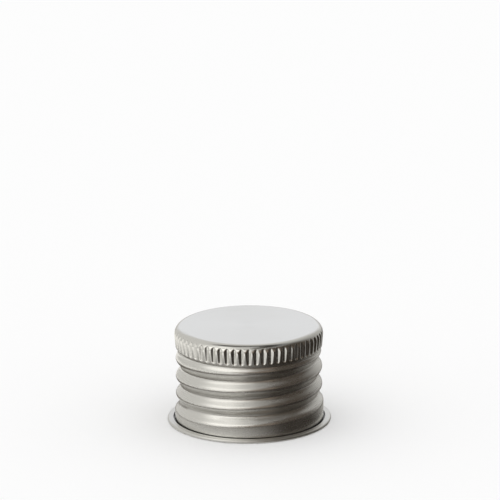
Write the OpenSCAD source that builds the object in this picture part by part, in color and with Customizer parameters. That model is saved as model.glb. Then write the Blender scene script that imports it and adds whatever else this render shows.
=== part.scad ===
// Rolled aluminium screw cap for a 24 mm bottle neck, with its foam liner.
// The shell is one drawn cup of thin sheet. A fluted grip band is pressed in below the
// rounded shoulder, a right-hand thread is rolled into the side, and the rim is turned
// outward and folded flat. The origin is the centre of the rim's underside, +Z is up
// the axis to the closed top, and -Y is the front.

/* [Shell] */
// Outer diameter of the drawn cup, over the skirt and the top of the ribs
shell_d = 25.9; // [21.5:0.1:31.1]
// Height from the underside of the rim to the top panel
shell_h = 17.1; // [14.2:0.1:20.6]
// Thickness of the sheet
wall = 0.25; // [0.2:0.01:0.3]
// Outer radius of the shoulder between the top panel and the side
shoulder_r = 1.5; // [1.2:0.05:1.8]

/* [Grip band] */
// Number of flutes around the band
flutes = 63; // [50:1:66]
// Width of a flute at the shoulder
flute_w = 0.88; // [0.73:0.01:1]
// Depth of a flute at the shoulder
flute_depth = 0.4; // [0.33:0.01:0.48]
// Height of the band, from the top panel to the foot of the ribs
band_h = 3.6; // [3:0.05:4.4]
// Lean of the ribs, which draw in towards their foot
band_lean = 5; // [3:0.5:7]
// Depth of the slanted step from the foot of the ribs into the undercut
undercut = 0.33; // [0.27:0.01:0.4]

/* [Thread] */
// Rise of the thread in one turn
pitch = 3.175; // [2.6:0.005:3.9]
// How far the thread's crests stand inside the shell's outer radius
crest_inset = 0.2; // [0.1:0.01:0.3]
// Depth of the rolled groove between the crests
groove_depth = 0.9; // [0.6:0.05:1.1]
// Drop from the foot of the ribs to the centre of the groove's first turn
groove_drop = 0.6; // [0.4:0.05:1.2]
// Turns of groove at its full depth
groove_turns = 2.8; // [1.5:0.05:3]
// Turns over which the groove fades in at the top
lead_in = 0.55; // [0.3:0.05:0.8]
// Turns over which the groove fades out at the bottom
run_out = 0.3; // [0.2:0.05:0.5]

/* [Skirt and rim] */
// Height at which the crests have widened to the plain skirt
skirt_h = 3.55; // [2.9:0.05:4.3]
// Height of the skirt's foot, which stays truly round
foot_h = 1.8; // [1.4:0.05:2.2]
// How far the folded rim stands out from the skirt
rim_w = 1.3; // [1:0.05:1.6]
// Space between the two leaves of the folded rim
fold_gap = 0.1; // [0.06:0.01:0.2]
// Slot left between the rim's free edge and the skirt
rim_slot = 0.3; // [0.2:0.01:0.4]

/* [Liner] */
// Thickness of the foam liner
liner_t = 1.2; // [0.8:0.1:1.5]
// Room between the liner's edge and the metal around it
liner_gap = 0.08; // [0.05:0.01:0.15]

/* [Hidden] */

$fn = 96;            // segments of the round forms
grid_a = 60;         // steps of the threaded wall's mesh round the axis
grid_z = 36;         // steps of the threaded wall's mesh along the axis
lap = 0.03;          // inset of the threaded wall's ends inside the plain rings
lap_h = 0.15;        // length of each of those ends
over = 0.5;          // how far a cutting form runs past what it cuts

shell_r = shell_d / 2;

// Grip band, from the shoulder down to the undercut, whose step slants at 45 degrees
shoulder_z = shell_h - shoulder_r;
panel_r = shell_r - shoulder_r;
rib_foot_z = shell_h - band_h;
rib_foot_r = shell_r - (shoulder_z - rib_foot_z) * tan(band_lean);
undercut_z = rib_foot_z - undercut;
undercut_r = rib_foot_r - undercut;
ring_h = 0.15;       // plain ring between the undercut's step and the thread

// A flute's round bottom, from its width and depth. The sheet thins where it is pressed.
flute_r = (flute_w * flute_w / 4 + flute_depth * flute_depth) / (2 * flute_depth);
flute_axis_r = shell_r - flute_depth + flute_r;
flute_wall = 0.8 * wall;
flute_foot = 0.25;   // plain band between the flutes' ends and the foot of the ribs

// Threaded wall, between the plain ring under the band and the plain foot of the skirt
thread_top_z = undercut_z - ring_h;
crest_r = shell_r - crest_inset;
crest_rise = 0.7;    // height in which the undercut opens to the crests
crest_fall = 0.6;    // height in which the crests widen to the skirt
groove_fade = 0.9;   // height in which the groove dies out above the plain foot
groove_top_z = rib_foot_z - groove_drop;
groove_start = -0.3; // turns down from the -X side at which the groove begins
groove_end = groove_start + lead_in + groove_turns + run_out;

// Folded rim: the sheet turns outward under the skirt and back over itself
rim_h = 2 * wall + fold_gap;
fold_r = rim_h / 2;
turn_r = shell_r - wall + fold_r;
leaf_r = shell_r + rim_w - fold_r;

// Liner, tucked into the inner corner of the shoulder
liner_top_z = shell_h - wall;
liner_r = shell_r - flute_depth - flute_wall - liner_gap;
liner_edge_r = shoulder_r - wall - liner_gap;

// 0 to 1 with level ends, and a blend of two values
function ease(x) = let (c = min(max(x, 0), 1)) c * c * (3 - 2 * c);
function mix(a, b, x) = a + (b - a) * x;

// Share of the groove's full depth at height z and angle a. The groove is a helix: t is
// its count of turns down from the -X side, and u the distance to its centre in pitches.
function groove(z, a) =
    let (
        s = (groove_top_z - z) / pitch,
        side = (180 - a) / 360,
        t = round(s - side) + side,
        u = s - t,
        began = ease((t - groove_start) / lead_in),
        ended = ease((groove_end - t) / run_out)
    )
    began * ended * (0.5 + 0.5 * cos(360 * u));

// Outer radius of the threaded wall at height z and angle a
function thread_r(z, a) =
    let (
        opened = ease((thread_top_z - z) / crest_rise),
        narrowed = ease((z - skirt_h) / crest_fall),
        risen = ease((z - foot_h) / groove_fade),
        crest = mix(undercut_r - lap, crest_r, opened),
        plain = mix(shell_r - lap, crest, narrowed)
    )
    plain - groove_depth * opened * risen * groove(z, a);

// A point of the threaded wall, set in from its outside by the depth t, square to it
function thread_point(z, a, t) =
    let (
        d = 0.01,
        slope = (thread_r(z + d, a) - thread_r(z - d, a)) / (2 * d),
        long = sqrt(1 + slope * slope),
        r = thread_r(z, a) - t / long
    )
    [r * cos(a), r * sin(a), z + t * slope / long];

// The threaded wall: an outer and an inner skin on one grid, joined at both ends
module threaded_wall() {
    heights = [
        foot_h - lap_h,
        for (k = [0 : grid_z]) mix(foot_h, thread_top_z, k / grid_z),
        thread_top_z + lap_h * 0.8
    ];
    skin = [0, wall - 2 * lap];
    points = [
        for (t = skin, z = heights, i = [0 : grid_a - 1]) thread_point(z, 360 * i / grid_a, t)
    ];
    rows = len(heights);
    last = rows - 1;

    // Index of a point on skin s, row k and column i, and a quad as two triangles
    function at(s, k, i) = (s * rows + k) * grid_a + i % grid_a;
    function quad(a, b, c, d) = [[a, b, c], [a, c, d]];

    sides = [
        for (k = [0 : last - 1], i = [0 : grid_a - 1]) each concat(
            quad(at(0, k, i), at(0, k + 1, i), at(0, k + 1, i + 1), at(0, k, i + 1)),
            quad(at(1, k, i), at(1, k, i + 1), at(1, k + 1, i + 1), at(1, k + 1, i))
        )
    ];
    ends = [
        for (i = [0 : grid_a - 1]) each concat(
            quad(at(0, 0, i), at(0, 0, i + 1), at(1, 0, i + 1), at(1, 0, i)),
            quad(at(0, last, i), at(1, last, i), at(1, last, i + 1), at(0, last, i + 1))
        )
    ];
    polyhedron(points = points, faces = concat(sides, ends), convexity = 8);
}

// Half section of the closed top, filled to the axis and set in from the outside by t
module top_section(t, foot_z) {
    lean_t = t / cos(band_lean);
    foot_up = t * (sqrt(2) - 1 / cos(band_lean)) / (1 - tan(band_lean));
    polygon([
        [0, foot_z],
        [undercut_r - t, foot_z],
        [undercut_r - t, undercut_z + t * tan(22.5)],
        [rib_foot_r + foot_up * tan(band_lean) - lean_t, rib_foot_z + foot_up],
        [shell_r - t, shoulder_z],
        [panel_r, shoulder_z],
        [panel_r, shell_h - t],
        [0, shell_h - t]
    ]);
    intersection() {
        translate([panel_r, shoulder_z]) circle(r = shoulder_r - t);
        translate([panel_r, shoulder_z]) square(shoulder_r);
    }
}

// A block whose side has an upright flute at each rib gap, set in by t from the sheet's
// outside. The flutes end a little above the foot of the ribs.
module fluted_block(t) {
    block_r = shell_r + over;
    foot_z = rib_foot_z + flute_foot - t;
    translate([0, 0, foot_z]) linear_extrude(shell_h) difference() {
        circle(r = block_r);
        for (i = [0 : flutes - 1]) {
            rotate(i * 360 / flutes - 90) translate([flute_axis_r, 0]) circle(r = flute_r + t);
        }
    }
    translate([0, 0, thread_top_z - 2 * over])
        cylinder(r = block_r, h = foot_z - thread_top_z + 2 * over);
}

// Panel, shoulder, fluted band and undercut. The cavity keeps metal behind each flute,
// so that the sheet follows the flute inside and outside.
module closed_top() {
    difference() {
        intersection() {
            rotate_extrude() top_section(0, thread_top_z);
            fluted_block(0);
        }
        intersection() {
            rotate_extrude() top_section(wall, thread_top_z - over);
            fluted_block(flute_wall);
        }
    }
}

// Ring section of a bend in the rim, centred at radius r
module sheet_bend(r) {
    translate([r, fold_r]) difference() {
        circle(r = fold_r);
        circle(r = fold_r - wall);
    }
}

// Half section of the skirt's plain foot and the folded rim
module rim_section() {
    translate([shell_r - wall, fold_r]) square([wall, foot_h - fold_r]);
    intersection() {
        sheet_bend(turn_r);
        translate([shell_r - wall, 0]) square(fold_r);
    }
    translate([turn_r, 0]) square([leaf_r - turn_r, wall]);
    intersection() {
        sheet_bend(leaf_r);
        translate([leaf_r, 0]) square([fold_r, rim_h]);
    }
    translate([shell_r + rim_slot, rim_h - wall]) square([leaf_r - shell_r - rim_slot, wall]);
}

module cap_shell() {
    color("silver") union() {
        closed_top();
        threaded_wall();
        rotate_extrude() rim_section();
    }
}

// A foam disc, whose upper edge fits the round of the shoulder
module liner() {
    color("white") rotate_extrude() intersection() {
        union() {
            translate([0, liner_top_z - liner_t]) square([panel_r, liner_t]);
            translate([0, liner_top_z - liner_t])
                square([panel_r + liner_edge_r, liner_t - liner_edge_r]);
            translate([panel_r, liner_top_z - liner_edge_r]) circle(r = liner_edge_r);
        }
        translate([0, liner_top_z - liner_t]) square([liner_r, liner_t]);
    }
}

cap_shell();
liner();
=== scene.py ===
"""Rolled aluminium screw cap with its foam liner, standing on its rim in a soft studio.

The shell is worked in millimetres: a plain drawn cup first, then the flutes are pressed
and the thread is rolled by Geometry Nodes. Each finished piece is brought to metres.
"""

import logging
import math
from collections.abc import Sequence
from dataclasses import dataclass, field
from enum import Enum

import bpy
from bpy.types import Material, Mesh, Node, NodeSocket, NodeTree, Object
from mathutils import Matrix, Vector


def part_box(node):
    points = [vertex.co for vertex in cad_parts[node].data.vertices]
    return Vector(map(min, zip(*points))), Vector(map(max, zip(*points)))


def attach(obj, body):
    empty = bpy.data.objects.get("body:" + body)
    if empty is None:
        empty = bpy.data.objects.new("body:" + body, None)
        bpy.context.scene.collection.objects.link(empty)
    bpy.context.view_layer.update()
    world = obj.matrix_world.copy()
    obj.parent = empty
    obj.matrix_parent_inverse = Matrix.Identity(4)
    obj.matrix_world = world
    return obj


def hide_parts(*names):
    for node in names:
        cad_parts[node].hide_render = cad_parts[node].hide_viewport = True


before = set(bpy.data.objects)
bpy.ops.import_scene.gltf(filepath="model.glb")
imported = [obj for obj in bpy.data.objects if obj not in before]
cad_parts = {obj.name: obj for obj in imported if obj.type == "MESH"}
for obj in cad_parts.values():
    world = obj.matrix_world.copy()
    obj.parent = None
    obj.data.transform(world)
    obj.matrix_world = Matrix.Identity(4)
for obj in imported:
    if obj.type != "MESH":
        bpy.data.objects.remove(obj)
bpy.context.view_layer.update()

BODY = "root"
MM = 0.001
TURN = 2 * math.pi
SHARP_ANGLE = math.radians(50)

# Attributes: millimetres inside the sheet's outer face, and how full a card is at a point
INSET = "inset"
FULL = "full"

FLOAT = "NodeSocketFloat"
VECTOR = "NodeSocketVector"
GEOMETRY = "NodeSocketGeometry"
MATERIAL = "NodeSocketMaterial"

log = logging.getLogger("cap")

Point = tuple[float, float]
Span = tuple[float, float]
Color = tuple[float, float, float]
Face = tuple[int, ...]
Number = "Field | float"


# -------- node helpers


@dataclass(frozen=True)
class Field:
    """An output socket of a node tree, used with ordinary arithmetic."""

    tree: NodeTree
    socket: NodeSocket

    def math(self, operation: str, *others: Number) -> "Field":
        """Adds a Math node.

        Args:
            operation: Blender's name of the operation.
            others: The operands after this one.

        Returns:
            The node's result.
        """
        node = self.tree.nodes.new("ShaderNodeMath")
        node.operation = operation
        for socket, value in zip(node.inputs, (self, *others)):
            plug(self.tree, socket, value)
        return Field(self.tree, node.outputs[0])

    def __add__(self, other: Number) -> "Field":
        """Returns the sum."""
        return self.math("ADD", other)

    __radd__ = __add__

    def __sub__(self, other: Number) -> "Field":
        """Returns the difference."""
        return self.math("SUBTRACT", other)

    def __rsub__(self, other: float) -> "Field":
        """Returns the difference from a plain number."""
        return (self * -1.0) + other

    def __mul__(self, other: Number) -> "Field":
        """Returns the product."""
        return self.math("MULTIPLY", other)

    def __truediv__(self, other: Number) -> "Field":
        """Returns the quotient."""
        return self.math("DIVIDE", other)

    def ease(self) -> "Field":
        """Returns 0 to 1 with level ends, as this goes from 0 to 1."""
        share = self.math("MAXIMUM", 0.0).math("MINIMUM", 1.0)
        return share * share * (3.0 - share * 2.0)

    def rise(self, start: float, full: float) -> "Field":
        """Returns 0 to 1 with level ends, as this goes from the start to where it is full."""
        return ((self - start) / (full - start)).ease()

    def mix(self, low: Number, high: Number) -> "Field":
        """Returns low where this is 0 and high where it is 1."""
        start = low if isinstance(low, Field) else self * 0.0 + low
        return start + self * (high - start)


def plug(tree: NodeTree, socket: NodeSocket, value: Number) -> None:
    """Feeds a socket.

    Args:
        tree: The tree that the socket is in.
        socket: The input socket.
        value: A field or a plain number.
    """
    if isinstance(value, Field):
        tree.links.new(value.socket, socket)
    else:
        socket.default_value = value


def new_group(
    name: str, inputs: dict[str, str], outputs: dict[str, str], kind: str = "ShaderNodeTree"
) -> NodeTree:
    """Starts a node group.

    Args:
        name: The group's name.
        inputs: The kind of each named input.
        outputs: The kind of each named output.
        kind: The kind of the tree.

    Returns:
        The group, with its ends named In and Out.
    """
    tree = bpy.data.node_groups.new(name, kind)
    for label, socket in inputs.items():
        tree.interface.new_socket(label, in_out="INPUT", socket_type=socket)
    for label, socket in outputs.items():
        tree.interface.new_socket(label, in_out="OUTPUT", socket_type=socket)
    tree.nodes.new("NodeGroupInput").name = "In"
    tree.nodes.new("NodeGroupOutput").name = "Out"
    return tree


@dataclass
class FormingTree:
    """A geometry node tree that moves the points of a round piece about its axis."""

    name: str
    sizes: dict[str, float]

    def __post_init__(self) -> None:
        """Makes the tree, its named inputs and the fields that every forming step reads."""
        shape = {"Geometry": GEOMETRY}
        inputs = {**shape, "Material": MATERIAL, **dict.fromkeys(self.sizes, FLOAT)}
        tree = self.tree = new_group(self.name, inputs, shape, "GeometryNodeTree")
        place = tree.nodes.new("GeometryNodeInputPosition")
        split = tree.nodes.new("ShaderNodeSeparateXYZ")
        tree.links.new(place.outputs[0], split.inputs[0])
        x, y, self.z = (Field(tree, split.outputs[axis]) for axis in range(3))
        self.radius = (x * x + y * y).math("SQRT")
        self.angle = y.math("ARCTAN2", x)
        inset = tree.nodes.new("GeometryNodeInputNamedAttribute")
        inset.data_type = "FLOAT"
        inset.inputs["Name"].default_value = INSET
        self.inset = Field(tree, inset.outputs["Attribute"])

    def size(self, label: str) -> Field:
        """Returns one of the named inputs."""
        return Field(self.tree, self.tree.nodes["In"].outputs[label])

    def form(self, piece: Object, radius: Field, z: Field) -> None:
        """Ends the tree, runs it on a piece and keeps the result as the piece's plain mesh.

        Args:
            piece: The object, whose points keep their angle and whose material stays.
            radius: Each point's new distance from the axis.
            z: Each point's new height.
        """
        tree, link = self.tree, self.tree.links.new
        place = tree.nodes.new("ShaderNodeCombineXYZ")
        plug(tree, place.inputs[0], radius * self.angle.math("COSINE"))
        plug(tree, place.inputs[1], radius * self.angle.math("SINE"))
        plug(tree, place.inputs[2], z)
        move = tree.nodes.new("GeometryNodeSetPosition")
        solid = tree.nodes.new("GeometryNodeRealizeInstances")
        dress = tree.nodes.new("GeometryNodeSetMaterial")
        given = tree.nodes["In"].outputs
        link(given["Geometry"], move.inputs["Geometry"])
        link(place.outputs[0], move.inputs["Position"])
        link(move.outputs[0], solid.inputs[0])
        link(solid.outputs[0], dress.inputs["Geometry"])
        link(given["Material"], dress.inputs["Material"])
        link(dress.outputs[0], tree.nodes["Out"].inputs[0])
        modifier = piece.modifiers.new(self.name, "NODES")
        modifier.node_group = tree
        values = {**self.sizes, "Material": piece.data.materials[0]}
        for item in tree.interface.items_tree:
            if item.in_out == "INPUT" and item.name in values:
                modifier[item.identifier] = values[item.name]
        graph = bpy.context.evaluated_depsgraph_get()
        shape = bpy.data.meshes.new_from_object(piece.evaluated_get(graph))
        piece.modifiers.clear()
        piece.data = shape


# -------- round sections


@dataclass(frozen=True)
class Corner:
    """A corner of a round piece's section, with its bend and the straight after it."""

    r: float
    z: float
    bend: float = 0.0
    bend_rows: int = 4
    run_rows: int = 1

    @property
    def point(self) -> Vector:
        """The corner as a vector of radius and height."""
        return Vector((self.r, self.z))


def rounded(corners: Sequence[Corner]) -> list[Point]:
    """Draws a section with its corners bent round.

    Args:
        corners: The corners in order, from one end of the section to the other.

    Returns:
        Points of radius and height.
    """
    points = [corners[0].point]
    for before, corner, after in zip(corners, corners[1:], corners[2:]):
        if not corner.bend:
            points += straight(points[-1], corner.point, before.run_rows)
            continue
        into = (corner.point - before.point).normalized()
        out = (after.point - corner.point).normalized()
        half = into.angle(out) / 2
        side = 1 if into.cross(out) > 0 else -1
        reach = corner.bend * math.tan(half)
        start = corner.point - into * reach
        centre = start + into.orthogonal() * corner.bend * side
        points += straight(points[-1], start, before.run_rows)
        for row in range(1, corner.bend_rows + 1):
            turn = Matrix.Rotation(side * 2 * half * row / corner.bend_rows, 2)
            points.append(centre + turn @ (start - centre))
    points += straight(points[-1], corners[-1].point, corners[-2].run_rows)
    return [(p.x, p.y) for p in points]


def straight(start: Vector, end: Vector, rows: int) -> list[Vector]:
    """Returns the points after the start on a straight run, its end included."""
    return [start.lerp(end, row / rows) for row in range(1, rows + 1)]


def set_in(corners: Sequence[Corner], depth: float, least_bend: float) -> list[Corner]:
    """Sets a section's corners in by the thickness of the sheet.

    Args:
        corners: The corners of the sheet's outer face.
        depth: Thickness of the sheet, to the right of the way the corners go.
        least_bend: The smallest radius that a bend keeps.

    Returns:
        The corners of the sheet's inner face.
    """
    ways = [(b.point - a.point).normalized() for a, b in zip(corners, corners[1:])]
    ways = [ways[0], *ways, ways[-1]]
    moved = []
    for corner, into, out in zip(corners, ways, ways[1:]):
        right_in = Vector((into.y, -into.x))
        right_out = Vector((out.y, -out.x))
        mitre = (right_in + right_out) / (1 + right_in.dot(right_out))
        place = corner.point + mitre * depth
        grows = depth if into.cross(out) > 0 else -depth
        bend = max(corner.bend + grows, least_bend) if corner.bend else 0.0
        moved.append(Corner(place.x, place.y, bend, corner.bend_rows, corner.run_rows))
    return moved


@dataclass
class Skin:
    """Rings of points round the axis, joined in order into one closed mesh."""

    repeats: int
    start: float = 0.0
    points: list[tuple[float, float, float]] = field(default_factory=list)
    insets: list[float] = field(default_factory=list)
    faces: list[Face] = field(default_factory=list)
    last: list[int] = field(default_factory=list)

    def rings(self, points: Sequence[Point], share: int, inset: float = 0.0) -> None:
        """Adds a ring for each point of a section and joins it to the one before.

        Args:
            points: Radius and height of each ring, where radius 0 makes a pole.
            share: How many points a ring has in each repeat.
            inset: How far the rings lie inside the sheet's outer face.
        """
        total = self.repeats * share
        angles = [self.start + TURN * point / total for point in range(total)]
        for r, z in points:
            around = [(r * math.cos(a), r * math.sin(a), z) for a in angles]
            first = len(self.points)
            self.points += around if r > 0 else [(0.0, 0.0, z)]
            ring = list(range(first, len(self.points)))
            self.insets += [inset] * len(ring)
            if self.last:
                self.faces += stitched(self.last, ring)
            self.last = ring

    def made(self, name: str) -> Object:
        """Makes the rings a mesh with smooth faces.

        Args:
            name: The object's name.

        Returns:
            The new object, at the origin.
        """
        mesh = bpy.data.meshes.new(name)
        mesh.from_pydata(self.points, [], self.faces)
        mesh.attributes.new(INSET, "FLOAT", "POINT").data.foreach_set("value", self.insets)
        mesh.shade_smooth()
        piece = bpy.data.objects.new(name, mesh)
        bpy.context.collection.objects.link(piece)
        return piece


def stitched(upper: list[int], lower: list[int]) -> list[Face]:
    """Joins two rings whose counts are a whole number of times each other.

    Args:
        upper: The points of the ring that comes first.
        lower: The points of the ring that comes next.

    Returns:
        Faces that point away from the axis where the rings go down an outside.
    """
    if len(upper) < len(lower):
        return [tuple(reversed(face)) for face in stitched(lower, upper)]
    step = len(upper) // len(lower)
    faces: list[Face] = []
    for number, start in enumerate(lower):
        after = lower[(number + 1) % len(lower)]
        fan = [upper[(number * step + k) % len(upper)] for k in range(step + 1)]
        if len(lower) == 1:
            faces += [(fan[k], start, fan[k + 1]) for k in range(step)]
        elif step == 1:
            faces.append((fan[0], start, after, fan[1]))
        else:
            middle = step // 2
            faces += [(fan[k], start, fan[k + 1]) for k in range(middle)]
            faces.append((fan[middle], start, after))
            faces += [(fan[k], after, fan[k + 1]) for k in range(middle, step)]
    return faces


def finished(piece: Object, node: str) -> Object:
    """Brings a piece from millimetres to metres and puts it in place of its CAD node.

    Args:
        piece: The piece, at the origin.
        node: The CAD node that it stands for.

    Returns:
        The same piece.
    """
    piece.data.transform(Matrix.Scale(MM, 4))
    piece.data.set_sharp_from_angle(angle=SHARP_ANGLE)
    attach(piece, BODY)
    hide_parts(node)
    return piece


# -------- the shell


@dataclass
class GripBand:
    """Flutes pressed into the band below the shoulder, the first of them at an angle.

    Each reaches to both sides of its bottom line, and its ends run out at 45 degrees.
    Lengths in millimetres.
    """

    flutes: int = 63
    depth: float = 0.4
    reach: float = 0.6
    edge: float = 0.07
    thinning: float = 0.8
    start: float = -TURN / 4
    foot: float = 0.15
    head: float = 0.8
    end_round: float = 0.12

    def press(self, piece: Object, shell: "CapShell") -> None:
        """Presses the flutes into the drawn cup.

        Args:
            piece: The cup.
            shell: The shell's sizes.
        """
        deepest = shell.side_r(shell.rib_foot_z) - (shell.radius - self.depth)
        tree = FormingTree(
            "Press flutes",
            {
                "Flutes": self.flutes,
                "Depth": self.depth,
                "Reach": self.reach,
                "Rib radius": shell.radius,
                "Edge rounding": self.edge,
                "End rounding": self.end_round,
                "Thinning": self.thinning,
                "First flute": self.start,
                "Flute head": shell.shoulder_z + self.head,
                "Flute foot": shell.rib_foot_z + self.foot + deepest,
            },
        )
        size = tree.size
        count = (tree.angle - size("First flute")) * size("Flutes") / TURN
        across = (count - count.math("ROUND")) * TURN / size("Flutes")
        aside = across.math("ABSOLUTE") * size("Rib radius") / size("Reach")
        inset = tree.inset * size("Thinning")
        shift = inset * (math.sqrt(2) - 1)
        under = size("Flute foot") - (tree.z + shift)
        over = tree.z - (size("Flute head") + shift)
        floor = size("Rib radius") - (1.0 - aside).ease() * size("Depth")
        soft = size("End rounding")
        rise = under.math("SMOOTH_MAX", 0.0, soft) + over.math("SMOOTH_MAX", 0.0, soft)
        pressed = tree.radius.math("SMOOTH_MIN", floor + rise - inset, size("Edge rounding"))
        above = tree.z.math("GREATER_THAN", shell.undercut_z)
        tree.form(piece, above.mix(tree.radius, pressed), tree.z)


@dataclass
class RolledThread:
    """A right-hand thread rolled into the side.

    Its start, lead-in, turns and run-out are in turns, the rest in millimetres.
    """

    pitch: float = 3.175
    crest_inset: float = 0.2
    depth: float = 0.9
    drop: float = 0.6
    start: float = -0.3
    lead_in: float = 0.55
    turns: float = 2.8
    run_out: float = 0.3
    crest_rise: float = 0.7
    crest_fall: float = 0.6
    fade: float = 0.9
    slope_step: float = 0.01

    def roll(self, piece: Object, shell: "CapShell") -> None:
        """Rolls the thread into the drawn cup, inside and outside.

        Args:
            piece: The cup, plain between the skirt and the undercut.
            shell: The shell's sizes.
        """
        tree = FormingTree(
            "Roll thread",
            {
                "Pitch": self.pitch,
                "Groove depth": self.depth,
                "Groove top": shell.rib_foot_z - self.drop,
                "Groove start": self.start,
                "Lead in": self.lead_in,
                "Groove end": self.start + self.lead_in + self.turns + self.run_out,
                "Run out": self.run_out,
                "Crest radius": shell.radius - self.crest_inset,
                "Crest rise": self.crest_rise,
                "Crest fall": self.crest_fall,
                "Undercut radius": shell.undercut_r,
                "Thread top": shell.thread_top_z,
                "Skirt radius": shell.radius,
                "Skirt height": shell.skirt_h,
                "Plain foot": shell.foot_h,
                "Fade": self.fade,
            },
        )
        small = self.slope_step
        radius = self.outer_radius(tree, tree.z)
        higher = self.outer_radius(tree, tree.z + small)
        lower = self.outer_radius(tree, tree.z - small)
        slope = (higher - lower) / (2 * small)
        long = (slope * slope + 1.0).math("SQRT")
        above = tree.z.math("GREATER_THAN", tree.size("Plain foot") - small)
        below = (tree.z - small).math("LESS_THAN", tree.size("Thread top"))
        here = above * below
        new_radius = here.mix(tree.radius, radius - tree.inset / long)
        new_z = here.mix(tree.z, tree.z + tree.inset * slope / long)
        tree.form(piece, new_radius, new_z)

    def outer_radius(self, tree: FormingTree, z: Field) -> Field:
        """Works out the radius of the thread's outer face.

        Args:
            tree: The tree that the nodes go into.
            z: Height.

        Returns:
            The radius at that height and at the point's own angle.
        """
        size = tree.size
        down = (size("Groove top") - z) / size("Pitch")
        side = 0.5 - tree.angle / TURN
        turn = (down - side).math("ROUND") + side
        began = ((turn - size("Groove start")) / size("Lead in")).ease()
        ended = ((size("Groove end") - turn) / size("Run out")).ease()
        wave = ((down - turn) * TURN).math("COSINE") * 0.5 + 0.5
        opened = ((size("Thread top") - z) / size("Crest rise")).ease()
        narrowed = ((z - size("Skirt height")) / size("Crest fall")).ease()
        risen = ((z - size("Plain foot")) / size("Fade")).ease()
        crest = opened.mix(size("Undercut radius"), size("Crest radius"))
        plain = narrowed.mix(size("Skirt radius"), crest)
        return plain - size("Groove depth") * opened * risen * began * ended * wave


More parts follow.
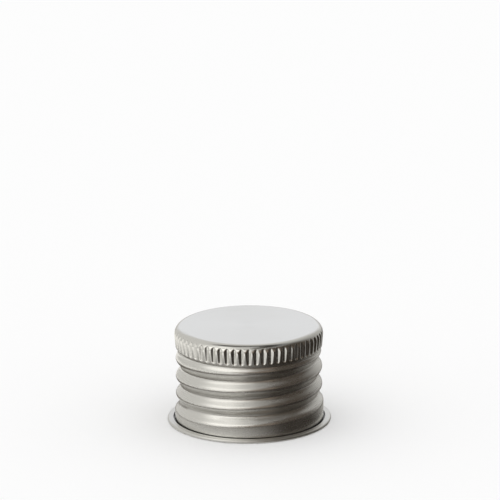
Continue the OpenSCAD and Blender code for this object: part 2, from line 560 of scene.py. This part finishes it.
@dataclass
class CapShell:
    """The pressed and rolled cup of aluminium sheet. Lengths in millimetres, lean in degrees.

    Points are counted round a ring, in the width of one flute. The panel's rings are
    shares of its radius.
    """

    rim_r: float
    height: float
    wall: float = 0.25
    shoulder_r: float = 1.5
    band_h: float = 3.6
    band_lean: float = 5.0
    undercut: float = 0.33
    foot_bend: float = 0.12
    ring_h: float = 0.15
    skirt_h: float = 3.55
    foot_h: float = 1.8
    rim_w: float = 1.3
    fold_gap: float = 0.1
    rim_slot: float = 0.3
    flat_edge: float = 0.5
    least_bend: float = 0.03
    outer_rows: int = 68
    inner_rows: int = 44
    band_points: int = 12
    inner_band_points: int = 6
    side_points: int = 4
    inner_side_points: int = 2
    panel_points: int = 2
    panel_rings: tuple[float, ...] = (0.0, 0.15, 0.4, 0.7, 0.95)
    band: GripBand = field(default_factory=GripBand)
    thread: RolledThread = field(default_factory=RolledThread)

    @property
    def radius(self) -> float:
        """Outer radius over the ribs and the skirt."""
        return self.rim_r - self.rim_w

    @property
    def shoulder_z(self) -> float:
        """Height at which the shoulder's round begins."""
        return self.height - self.shoulder_r

    @property
    def rib_foot_z(self) -> float:
        """Height of the foot of the ribs."""
        return self.height - self.band_h

    @property
    def flute_end_z(self) -> float:
        """Height below which the ends of the flutes need finer rows."""
        return self.rib_foot_z + self.band.depth + self.band.foot

    @property
    def undercut_z(self) -> float:
        """Height of the foot of the slanted step."""
        return self.rib_foot_z - self.undercut

    @property
    def undercut_r(self) -> float:
        """Outer radius of the undercut."""
        return self.side_r(self.rib_foot_z) - self.undercut

    @property
    def thread_top_z(self) -> float:
        """Height at which the thread begins."""
        return self.undercut_z - self.ring_h

    def side_r(self, z: float) -> float:
        """Returns the outer radius of the leaning band at a height."""
        return self.radius - (self.shoulder_z - z) * math.tan(math.radians(self.band_lean))

    def top_corners(self) -> list[Corner]:
        """Draws the outer face's section, from the panel to the undercut.

        Returns:
            Its corners.
        """
        return [
            Corner(self.radius - self.shoulder_r - self.flat_edge, self.height),
            Corner(self.side_r(self.height), self.height, self.shoulder_r, bend_rows=26, run_rows=4),
            Corner(self.side_r(self.flute_end_z), self.flute_end_z, run_rows=7),
            Corner(self.side_r(self.rib_foot_z), self.rib_foot_z, self.foot_bend),
            Corner(self.undercut_r, self.undercut_z, self.foot_bend),
            Corner(self.undercut_r, self.thread_top_z),
        ]

    def rim_corners(self) -> list[Corner]:
        """Draws the outer face's section, from the skirt's foot to the free edge.

        Returns:
            Its corners.
        """
        turn = self.fold_gap / 2
        edge_r = self.rim_r - self.wall
        leaf_z = self.wall + self.fold_gap
        return [
            Corner(self.radius, self.foot_h, run_rows=3),
            Corner(self.radius, self.wall, turn, bend_rows=6),
            Corner(edge_r, self.wall, turn, bend_rows=8),
            Corner(edge_r, leaf_z, turn, bend_rows=8),
            Corner(self.radius + self.rim_slot, leaf_z),
        ]

    def drawn_cup(self) -> Object:
        """Makes the sheet's two faces as one closed mesh, before flutes and thread.

        Returns:
            The cup, plain where the thread will be.
        """
        skin = Skin(self.band.flutes, self.band.start)
        top, rim = self.top_corners(), self.rim_corners()
        inner_top = set_in(top, self.wall, self.least_bend)
        inner_rim = set_in(rim, self.wall, self.least_bend)
        inner_side = self.plain_side(self.inner_rows, self.wall)
        inner_panel = self.panel(self.height - self.wall, inner_top[0].r)
        skin.rings(self.panel(self.height, top[0].r), self.panel_points)
        skin.rings(rounded(top), self.band_points)
        skin.rings(self.plain_side(self.outer_rows, 0.0), self.side_points)
        skin.rings(rounded(rim), self.side_points)
        skin.rings(rounded(inner_rim)[::-1], self.side_points, self.wall)
        skin.rings(inner_side[::-1], self.inner_side_points, self.wall)
        skin.rings(rounded(inner_top)[::-1], self.inner_band_points, self.wall)
        skin.rings(inner_panel[::-1], self.panel_points, self.wall)
        return skin.made("rolled_shell")

    def panel(self, z: float, edge_r: float) -> list[Point]:
        """Returns a flat face of the panel, from its centre to where its edge begins."""
        return [(edge_r * share, z) for share in self.panel_rings]

    def plain_side(self, rows: int, inset: float) -> list[Point]:
        """Returns the side that the thread is rolled into, in so many rows from the top."""
        radius, drop = self.radius - inset, self.thread_top_z - self.foot_h
        return [(radius, self.thread_top_z - drop * row / rows) for row in range(1, rows)]

    def build(self, material: Material) -> Object:
        """Makes the finished shell.

        Args:
            material: What the sheet is made of.

        Returns:
            The shell, in metres, in place of its CAD node.
        """
        piece = self.drawn_cup()
        piece.data.materials.append(material)
        self.thread.roll(piece, self)
        self.band.press(piece, self)
        return finished(piece, "cap_shell")


# -------- the liner


@dataclass
class Liner:
    """A die-cut disc of foam under the panel, whose middle is a share of its radius.

    Lengths in millimetres.
    """

    radius: float
    low: float
    high: float
    tucked_edge: float = 1.15
    cut_edge: float = 0.12
    middle: float = 0.5
    points: int = 240

    def corners(self) -> list[Corner]:
        """Draws the disc's section, from the centre of its top to that of its underside.

        Returns:
            Its corners.
        """
        return [
            Corner(self.radius * self.middle, self.high, run_rows=3),
            Corner(self.radius, self.high, self.tucked_edge, bend_rows=8),
            Corner(self.radius, self.low, self.cut_edge, run_rows=3),
            Corner(self.radius * self.middle, self.low),
        ]

    def build(self, material: Material) -> Object:
        """Makes the liner.

        Args:
            material: What the disc is made of.

        Returns:
            The liner, in metres, in place of its CAD node.
        """
        skin = Skin(self.points)
        skin.rings([(0.0, self.high), *rounded(self.corners()), (0.0, self.low)], 1)
        piece = skin.made("foam_liner")
        piece.data.materials.append(material)
        return finished(piece, "liner")


# -------- finishes


class Effects:
    """Shader node groups that both finishes use, each built once."""

    def __init__(self) -> None:
        """Builds the groups."""
        self.place = self.round_place()
        self.mottle = self.uneven_value()

    def round_place(self) -> NodeTree:
        """Builds the group that tells where a point is on a round piece.

        Returns:
            A group that puts out the point, its radius and its height, in millimetres.
        """
        tree = new_group("Round place", {}, {"Point": VECTOR, "Radius": FLOAT, "Height": FLOAT})
        place = tree.nodes.new("ShaderNodeTexCoord")
        scaled = tree.nodes.new("ShaderNodeVectorMath")
        scaled.operation = "SCALE"
        scaled.inputs["Scale"].default_value = 1 / MM
        split = tree.nodes.new("ShaderNodeSeparateXYZ")
        tree.links.new(place.outputs["Object"], scaled.inputs[0])
        tree.links.new(scaled.outputs[0], split.inputs[0])
        x, y, z = (Field(tree, split.outputs[axis]) for axis in range(3))
        end = tree.nodes["Out"]
        tree.links.new(scaled.outputs[0], end.inputs["Point"])
        plug(tree, end.inputs["Radius"], (x * x + y * y).math("SQRT"))
        plug(tree, end.inputs["Height"], z)
        return tree

    def uneven_value(self) -> NodeTree:
        """Builds the group that varies a value by noise.

        Returns:
            A group with a point, a scale, a detail and two limits, which puts out the value.
        """
        sizes = {"Point": VECTOR, "Scale": FLOAT, "Detail": FLOAT, "Low": FLOAT, "High": FLOAT}
        tree = new_group("Mottle", sizes, {"Value": FLOAT})
        given, link = tree.nodes["In"].outputs, tree.links.new
        noise = tree.nodes.new("ShaderNodeTexNoise")
        spread = tree.nodes.new("ShaderNodeMapRange")
        spread.interpolation_type = "SMOOTHSTEP"
        spread.inputs["From Min"].default_value = 0.25
        spread.inputs["From Max"].default_value = 0.75
        link(given["Point"], noise.inputs["Vector"])
        link(given["Scale"], noise.inputs["Scale"])
        link(given["Detail"], noise.inputs["Detail"])
        link(noise.outputs[0], spread.inputs["Value"])
        link(given["Low"], spread.inputs["To Min"])
        link(given["High"], spread.inputs["To Max"])
        link(spread.outputs[0], tree.nodes["Out"].inputs["Value"])
        return tree


class Finish:
    """A material under construction, whose patterns are worked out in millimetres."""

    def __init__(self, name: str, effects: Effects) -> None:
        """Starts the material.

        Args:
            name: The material's name.
            effects: The shared node groups.
        """
        self.material = bpy.data.materials.new(name)
        self.material.use_nodes = True
        self.tree = self.material.node_tree
        self.shader = self.tree.nodes["Principled BSDF"]
        self.effects = effects
        place = self.group(effects.place)
        self.point = place.outputs["Point"]
        self.radius = Field(self.tree, place.outputs["Radius"])
        self.height = Field(self.tree, place.outputs["Height"])

    def group(self, tree: NodeTree) -> Node:
        """Adds a node of a shared group.

        Args:
            tree: The group.

        Returns:
            The node.
        """
        node = self.tree.nodes.new("ShaderNodeGroup")
        node.node_tree = tree
        return node

    def attribute(self, name: str) -> Field:
        """Reads a value that the mesh carries.

        Args:
            name: The attribute's name.

        Returns:
            The value.
        """
        node = self.tree.nodes.new("ShaderNodeAttribute")
        node.attribute_name = name
        return Field(self.tree, node.outputs["Fac"])

    def stretched(self, share: float) -> NodeSocket:
        """Works out where a pattern of marks round the axis is read.

        Args:
            share: How fast the pattern changes along the marks, against square to them.

        Returns:
            The point, whose first part runs up the side and in across the panel.
        """
        split = self.tree.nodes.new("ShaderNodeSeparateXYZ")
        joined = self.tree.nodes.new("ShaderNodeCombineXYZ")
        self.tree.links.new(self.point, split.inputs[0])
        plug(self.tree, joined.inputs[0], self.height - self.radius * 0.5)
        plug(self.tree, joined.inputs[1], Field(self.tree, split.outputs[0]) * share)
        plug(self.tree, joined.inputs[2], Field(self.tree, split.outputs[1]) * share)
        return joined.outputs[0]

    def mottle(
        self,
        point: NodeSocket,
        scale: float,
        low: float = 0.0,
        high: float = 1.0,
        detail: float = 2.0,
    ) -> Field:
        """Adds a value that varies by noise.

        Args:
            point: Where the noise is read.
            scale: How many times it repeats in a millimetre.
            low: The least value.
            high: The greatest value.
            detail: How many finer layers the noise has.

        Returns:
            The value.
        """
        node = self.group(self.effects.mottle)
        self.tree.links.new(point, node.inputs["Point"])
        for label, value in (("Scale", scale), ("Low", low), ("High", high), ("Detail", detail)):
            node.inputs[label].default_value = value
        return Field(self.tree, node.outputs["Value"])

    def shade(self, color: Color, tone: Field) -> None:
        """Gives the shader its colour, brightened and darkened by a tone.

        Args:
            color: The colour where the tone is 1.
            tone: How many times as bright the colour is.
        """
        joined = self.tree.nodes.new("ShaderNodeCombineColor")
        for socket, part in zip(joined.inputs, color):
            plug(self.tree, socket, (tone * part).math("MINIMUM", 1.0))
        self.tree.links.new(joined.outputs[0], self.shader.inputs["Base Color"])

    def bump(self, height: Field, distance: float) -> None:
        """Gives the shader's surface a fine relief.

        Args:
            height: The relief, from 0 to 1.
            distance: Its depth in millimetres.
        """
        node = self.tree.nodes.new("ShaderNodeBump")
        node.inputs["Distance"].default_value = distance * MM
        plug(self.tree, node.inputs["Height"], height)
        self.tree.links.new(node.outputs[0], self.shader.inputs["Normal"])


@dataclass(frozen=True)
class SatinAluminium:
    """Drawn aluminium sheet with fine marks round the axis.

    Lengths are in millimetres, and patterns in repeats a millimetre. An effect with a span
    is clear at the span's first value and full at its second.
    """

    color: Color = (0.80, 0.796, 0.772)
    base_tone: float = 0.985
    mark_tone: float = 0.012
    worn_tone: float = 0.03
    # Painted shade: how dark the colour is made in the recesses of the flutes and the undercut.
    recess_painted_shade: float = 0.86
    inside_tone: float = 0.93
    # Painted shade: how dark the colour is made in the slot between the skirt and the rim.
    slot_painted_shade: float = 0.22
    roughness: float = 0.19
    unevenness: float = 0.03
    polish: float = 0.05
    recess_dulling: float = 0.04
    inside_dulling: float = 0.12
    side_dulling: float = 0.09
    brushed: float = 0.5
    fine_marks: float = 16.0
    fine_depth: float = 0.0012
    fine_stretch: float = 0.02
    broad_marks: float = 1.3
    broad_stretch: float = 0.12
    clouds: float = 0.17
    rubbing: float = 1.6
    crest_rubbing: float = 0.5
    rib_edge: Span = (-0.1, -0.02)
    crest_edge: Span = (-0.08, 0.0)
    rim_edge: Span = (-0.2, -0.05)
    # Depth and top of the recesses where shade is painted.
    recess_shade_depth: Span = (0.1, 0.35)
    recess_shade_top: float = 0.2
    slot_depth: Span = (-0.25, 0.15)
    slot_edge: Span = (-0.02, 0.02)

    def material(self, effects: Effects, shell: "CapShell") -> Material:
        """Makes the finish for a shell.

        Args:
            effects: The shared node groups.
            shell: The shell's sizes, which tell where it is rubbed bright, where it is dull and where
                shade is painted into its colour.

        Returns:
            The material.
        """
        work = Finish("satin aluminium", effects)
        fine = work.mottle(work.stretched(self.fine_stretch), self.fine_marks, detail=3.0)
        broad = work.mottle(work.stretched(self.broad_stretch), self.broad_marks)
        cloud = work.mottle(work.point, self.clouds)
        inside = work.attribute(INSET) / shell.wall
        side = (shell.rib_foot_z - work.height).rise(0.0, shell.undercut)
        worn = self.worn(work, shell)
        shaded_recess = self.shaded_recess(work, shell)
        slot = self.slot(work, shell)
        tone = self.base_tone + (fine + broad) * self.mark_tone + worn * self.worn_tone
        # Painted shade: the colour is darkened in the recesses and in the rim's slot.
        tone = tone * shaded_recess.mix(1.0, self.recess_painted_shade) * slot.mix(1.0, self.slot_painted_shade)
        work.shade(self.color, tone * inside.mix(1.0, self.inside_tone))
        uneven = (fine - 0.5) + (broad - 0.5) + (cloud - 0.5)
        rough = self.roughness + uneven * self.unevenness
        rough = rough - worn * self.polish + shaded_recess * self.recess_dulling
        rough = rough + inside * self.inside_dulling + side * self.side_dulling
        plug(work.tree, work.shader.inputs["Roughness"], rough)
        work.bump(fine, self.fine_depth)
        work.shader.inputs["Metallic"].default_value = 1.0
        work.shader.inputs["Anisotropic"].default_value = self.brushed
        work.shader.inputs["Anisotropic Rotation"].default_value = 0.25
        way = work.tree.nodes.new("ShaderNodeTangent")
        way.direction_type = "RADIAL"
        way.axis = "Z"
        work.tree.links.new(way.outputs[0], work.shader.inputs["Tangent"])
        return work.material

    def worn(self, work: Finish, shell: "CapShell") -> Field:
        """Finds where ribs, crests and rim have been rubbed bright.

        Args:
            work: The material under construction.
            shell: The shell's sizes.

        Returns:
            0 to 1, broken up by noise.
        """
        crest_r = shell.radius - shell.thread.crest_inset
        rib = (work.radius - shell.radius).rise(*self.rib_edge)
        rib = rib * work.height.math("GREATER_THAN", shell.rib_foot_z)
        crest = (work.radius - crest_r).rise(*self.crest_edge) * self.crest_rubbing
        crest = crest * work.height.math("LESS_THAN", shell.thread_top_z)
        rim = (work.radius - shell.rim_r).rise(*self.rim_edge)
        broken = work.mottle(work.point, self.rubbing, low=0.25, detail=3.0)
        return rib.math("MAXIMUM", crest).math("MAXIMUM", rim) * broken

    def shaded_recess(self, work: Finish, shell: "CapShell") -> Field:
        """Finds the recesses of the flutes and the undercut, where shade is painted into the colour
        and the metal is duller.

        Args:
            work: The material under construction.
            shell: The shell's sizes.

        Returns:
            0 to 1.
        """
        surface = (work.height - shell.shoulder_z) * math.tan(math.radians(shell.band_lean))
        recessed = ((surface + shell.radius) - work.radius).rise(*self.recess_shade_depth)
        above = work.height.math("GREATER_THAN", shell.thread_top_z)
        below = work.height.math("LESS_THAN", shell.shoulder_z + self.recess_shade_top)
        outside = work.attribute(INSET).math("LESS_THAN", shell.wall / 2)
        return recessed * above * below * outside

    def slot(self, work: Finish, shell: "CapShell") -> Field:
        """Finds how deep a point is in the slot between the skirt and the rim, where shade is painted
        dark into the colour.

        Args:
            work: The material under construction.
            shell: The shell's sizes.

        Returns:
            0 to 1.
        """
        rim_top = 2 * shell.wall + shell.fold_gap
        low = (rim_top - work.height).rise(*self.slot_depth)
        out = work.radius.math("GREATER_THAN", shell.radius - shell.wall / 2)
        near = (shell.radius + shell.rim_slot - work.radius).rise(*self.slot_edge)
        return low * out * near


@dataclass(frozen=True)
class Foam:
    """Fine-celled white foam. Lengths in millimetres, patterns in repeats a millimetre."""

    color: Color = (0.87, 0.865, 0.84)
    cell: float = 0.16
    cell_depth: float = 0.03
    wall_tone: float = 1.03
    cell_tone: float = 0.09
    cell_polish: float = 0.12
    clouds: float = 0.35
    specks: float = 3.5
    roughness: float = 0.85
    shine: float = 0.3

    def material(self, effects: Effects) -> Material:
        """Makes the finish.

        Args:
            effects: The shared node groups.

        Returns:
            The material.
        """
        work = Finish("liner foam", effects)
        cells = work.tree.nodes.new("ShaderNodeTexVoronoi")
        cells.feature = "SMOOTH_F1"
        cells.inputs["Scale"].default_value = 1 / self.cell
        work.tree.links.new(work.point, cells.inputs["Vector"])
        hollow = Field(work.tree, cells.outputs["Distance"])
        cloud = work.mottle(work.point, self.clouds, low=0.97, high=1.02)
        speck = work.mottle(work.point, self.specks, low=0.985, high=1.01, detail=4.0)
        work.shade(self.color, cloud * speck * (self.wall_tone - hollow * self.cell_tone))
        rough = self.roughness - (hollow - 0.5) * self.cell_polish
        plug(work.tree, work.shader.inputs["Roughness"], rough)
        work.bump(1.0 - hollow, self.cell_depth)
        work.shader.inputs["Specular IOR Level"].default_value = self.shine
        return work.material


# -------- studio


@dataclass
class Camera:
    """A long lens that looks down on the cap. Lengths in millimetres, angles in degrees."""

    distance: float = 828.66
    elevation: float = 17.6
    aim_height: float = 8.36
    pitch: float = 1.4775
    yaw: float = 0.0239
    roll: float = -0.4627
    lens: float = 342.43

    def make(self) -> None:
        """Makes the scene's camera."""
        data = bpy.data.cameras.new("camera")
        data.lens = self.lens
        camera = bpy.data.objects.new("camera", data)
        bpy.context.collection.objects.link(camera)
        down = math.radians(90 - self.elevation + self.pitch)
        turn = Matrix.Rotation(down, 4, "X")
        turn = turn @ Matrix.Rotation(math.radians(-self.yaw), 4, "Y")
        turn = turn @ Matrix.Rotation(math.radians(self.roll), 4, "Z")
        up = math.radians(self.elevation)
        place = Vector((0, -math.cos(up), math.sin(up))) * self.distance
        place.z += self.aim_height
        camera.matrix_world = Matrix.Translation(place * MM) @ turn
        bpy.context.scene.camera = camera


def glowing(name: str, color: Color, strength: float) -> Material:
    """Makes a glowing material that is clear where its card has faded out.

    Args:
        name: The material's name.
        color: Colour of the light.
        strength: Its radiance.

    Returns:
        The material.
    """
    material = bpy.data.materials.new(name)
    material.use_nodes = True
    tree, link = material.node_tree, material.node_tree.links.new
    tree.nodes.clear()
    light = tree.nodes.new("ShaderNodeEmission")
    light.inputs["Color"].default_value = (*color, 1.0)
    light.inputs["Strength"].default_value = strength
    share = tree.nodes.new("ShaderNodeAttribute")
    share.attribute_name = FULL
    clear = tree.nodes.new("ShaderNodeBsdfTransparent")
    mixed = tree.nodes.new("ShaderNodeMixShader")
    end = tree.nodes.new("ShaderNodeOutputMaterial")
    link(share.outputs["Fac"], mixed.inputs[0])
    link(clear.outputs[0], mixed.inputs[1])
    link(light.outputs[0], mixed.inputs[2])
    link(mixed.outputs[0], end.inputs["Surface"])
    return material


class Layer(Enum):
    """How far a card stands from the cap, in metres, from the nearest to the farthest."""

    LAMP = 0.70
    SOFTBOX = 0.72
    SCREEN = 0.74
    GLOW = 0.76
    WALL = 0.78
    CEILING = 0.80
    ROOF = 0.82
    BACK = 0.84
    ROOM = 0.90


@dataclass(frozen=True)
class Card:
    """A curved card round the cap, seen only in its gloss. Angles in degrees.

    The turn runs from the camera's side, 0, to the right, 90, and the rise from level.
    """

    name: str
    turn: Span
    rise: Span
    light: float
    tint: Color
    fade: Span = (8.0, 8.0)
    layer: Layer = Layer.ROOM
    steps: int = 30

    def spot(self, turn: float, rise: float) -> Vector:
        """Returns the place of a point, in metres."""
        way, up, far = math.radians(turn - 90), math.radians(rise), self.layer.value
        return Vector((math.cos(way) * math.cos(up), math.sin(way) * math.cos(up), math.sin(up))) * far

    @property
    def fading(self) -> list[float]:
        """The lower and the upper end, where the card fades there."""
        return [end for end in self.rise if end < 90]

    def make(self) -> None:
        """Makes the card, which only the metal's gloss sees."""
        points, shares, faces = [], [], []
        whole = self.turn[1] - self.turn[0] >= 360
        for row in range(self.steps + 1):
            rise = between(self.rise, row / self.steps)
            tall = fullness(rise, self.fading, self.fade[1])
            for column in range(self.steps + 1):
                turn = between(self.turn, column / self.steps)
                wide = 1.0 if whole else fullness(turn, self.turn, self.fade[0])
                points.append(self.spot(turn, rise))
                shares.append(tall * wide)
                if row and column:
                    last = len(points) - 1
                    below = last - self.steps - 1
                    faces.append((last, last - 1, below - 1, below))
        mesh = bpy.data.meshes.new(self.name)
        mesh.from_pydata(points, [], faces)
        mesh.attributes.new(FULL, "FLOAT", "POINT").data.foreach_set("value", shares)
        mesh.materials.append(glowing(self.name, self.tint, self.light))
        card = staged(self.name, mesh)
        card.visible_camera = False
        card.visible_diffuse = False
        card.visible_shadow = False
        card.visible_transmission = False


@dataclass(frozen=True)
class TableCard(Card):
    """A flat card on the table, whose rise is its reach from the axis, in millimetres.

    One that begins beside the rim keeps its full strength there.
    """

    lift: float = 0.1
    steps: int = 60
    rim_side: float = 15.0

    def spot(self, turn: float, rise: float) -> Vector:
        """Returns the place of a point, in metres."""
        way = math.radians(turn - 90)
        return Vector((rise * math.cos(way), rise * math.sin(way), self.lift)) * MM

    @property
    def fading(self) -> list[float]:
        """The inner and the outer end, where the card fades there."""
        return [end for end in self.rise if end > self.rim_side]


def between(ends: Span, share: float) -> float:
    """Returns the value at a share of the way between two ends."""
    return ends[0] + (ends[1] - ends[0]) * share


def fullness(value: float, ends: Sequence[float], fade: float) -> float:
    """Works out how full a card is near its ends.

    Args:
        value: Where on the card.
        ends: Where the card has faded out.
        fade: How far from an end it is full.

    Returns:
        0 at an end and 1 away from them.
    """
    share = min(1.0, *(abs(value - end) / fade for end in ends))
    return share * share * (3 - 2 * share)


def staged(name: str, mesh: Mesh) -> Object:
    """Adds a mesh to the scene.

    Args:
        name: The object's name.
        mesh: The mesh.

    Returns:
        The object.
    """
    piece = bpy.data.objects.new(name, mesh)
    bpy.context.collection.objects.link(piece)
    return piece


@dataclass
class Studio:
    """A pale table, soft daylight all round and the cards that the metal mirrors.

    The table's radii are in metres. Its hole lies under the cap, to show the inside.
    """

    hole: float = 0.0135
    near: float = 0.2
    table: float = 3.0
    sides: int = 96
    daylight: float = 1.0
    white: float = 0.98

    def make(self) -> None:
        """Makes the table, the light and the cards."""
        bpy.context.scene.view_settings.view_transform = "Standard"
        self.table_top()
        self.world()
        for card in self.cards():
            card.make()

    def table_top(self) -> None:
        """Makes the table, open under the cap and clear from below."""
        around = [TURN * side / self.sides for side in range(self.sides)]
        points = []
        for radius in (self.hole, self.near, self.table):
            points += [(radius * math.cos(a), radius * math.sin(a), 0) for a in around]
        faces = []
        for first in (0, self.sides):
            rings = [range(start, start + self.sides) for start in (first, first + self.sides)]
            for k in range(self.sides):
                after = (k + 1) % self.sides
                faces.append((rings[0][k], rings[1][k], rings[1][after], rings[0][after]))
        mesh = bpy.data.meshes.new("table")
        mesh.from_pydata(points, [], faces)
        mesh.materials.append(self.table_paint())
        staged("table", mesh)

    def table_paint(self) -> Material:
        """Makes the table's matt white paint.

        Returns:
            The material, which is clear from behind.
        """
        material = bpy.data.materials.new("table")
        material.use_nodes = True
        tree, link = material.node_tree, material.node_tree.links.new
        shader = tree.nodes["Principled BSDF"]
        shader.inputs["Base Color"].default_value = (self.white, self.white, self.white, 1)
        shader.inputs["Roughness"].default_value = 1.0
        shader.inputs["Specular IOR Level"].default_value = 0.0
        side = tree.nodes.new("ShaderNodeNewGeometry")
        clear = tree.nodes.new("ShaderNodeBsdfTransparent")
        mixed = tree.nodes.new("ShaderNodeMixShader")
        link(side.outputs["Backfacing"], mixed.inputs[0])
        link(shader.outputs[0], mixed.inputs[1])
        link(clear.outputs[0], mixed.inputs[2])
        link(mixed.outputs[0], tree.nodes["Material Output"].inputs["Surface"])
        return material

    def world(self) -> None:
        """Makes the even daylight."""
        world = bpy.data.worlds.new("daylight")
        bpy.context.scene.world = world
        world.use_nodes = True
        sky = world.node_tree.nodes["Background"]
        sky.inputs["Color"].default_value = (1.0, 1.0, 1.0, 1.0)
        sky.inputs["Strength"].default_value = self.daylight

    def cards(self) -> list[Card]:
        """Sets out the cards that the metal mirrors.

        Returns:
            The cards, those on the table from the top one down.
        """
        pale = (1.02, 1.0, 0.95)
        cool = (0.99, 1.0, 1.03)
        dusk = (1.25, 1.0, 0.78)
        return [
            Card("front lamp", (-76, -16), (3, 29), 1.0, pale, (15, 5), Layer.LAMP),
            Card("back strip", (150, 210), (2, 36), 0.87, cool, (14, 10), Layer.LAMP),
            Card("softbox", (-100, 18), (16, 56), 1.34, pale, (36, 18), Layer.SOFTBOX),
            Card("left ceiling", (-114, -14), (54, 73), 1.1, pale, (47, 5), Layer.SCREEN),
            Card("dark horizon", (-40, 47), (-4, 43), 0.165, dusk, (13, 14), Layer.SCREEN),
            Card("right lamp", (-19, 42), (42, 61), 0.4, pale, (19, 3), Layer.GLOW),
            Card("skylight", (-180, 180), (76, 90), 0.5, pale, (8, 9), Layer.GLOW, steps=60),
            Card("right wall", (-40, 139), (-14, 64), 0.05, dusk, (40, 12), Layer.WALL),
            Card("dark ceiling", (7, 259), (57, 90), 0.02, dusk, (5, 15), Layer.CEILING),
            Card("roof", (55, 258), (58, 90), 0.2, cool, (5, 10), Layer.ROOF),
            Card("back right", (43, 180), (-2, 85), 0.33, pale, (68, 6), Layer.BACK),
            Card("room", (-180, 180), (-4, 90), 0.62, pale, steps=60),
            TableCard("far dark sheet", (-10, 32), (46, 900), 0.02, dusk, (10, 9), lift=0.14),
            TableCard("right dark sheet", (-24, 131), (14.3, 900), 0.02, dusk, (62, 3), lift=0.12),
            TableCard("near sheet", (-180, 180), (14.3, 24), 0.55, pale, (8, 8)),
            # Painted shadow: a dark sheet round the cap, seen only in the metal's gloss, stands in for
            # the cap's shade on the table.
            TableCard("painted shadow ring", (-180, 180), (14.3, 45), 0.06, dusk, (8, 20), lift=0.08),
            TableCard("bright sheet", (-180, 3), (46, 110), 1.0, pale, (10, 4), lift=0.06),
            TableCard("grey sheet", (-180, 180), (14.3, 900), 0.4, pale, lift=0.04),
        ]


def corners_mm(node: str) -> tuple[Vector, Vector]:
    """Returns the low and high corners of a CAD node's box, in millimetres."""
    low, high = (Vector(round(part / MM, 2) for part in corner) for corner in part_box(node))
    return low, high


def report(piece: Object) -> None:
    """Logs a piece's name and its count of triangles."""
    log.info("%s: %d triangles", piece.name, sum(len(p.vertices) - 2 for p in piece.data.polygons))


def main() -> None:
    """Builds the cap and its studio, and reports each piece."""
    logging.basicConfig(level=logging.INFO, format="%(name)s: %(message)s")
    high = corners_mm("cap_shell")[1]
    liner_low, liner_high = corners_mm("liner")
    Camera().make()
    Studio().make()
    effects = Effects()
    shell = CapShell(high.x, high.z)
    report(shell.build(SatinAluminium().material(effects, shell)))
    liner = Liner(liner_high.x, liner_low.z, liner_high.z)
    report(liner.build(Foam().material(effects)))


if __name__ == "__main__":
    main()
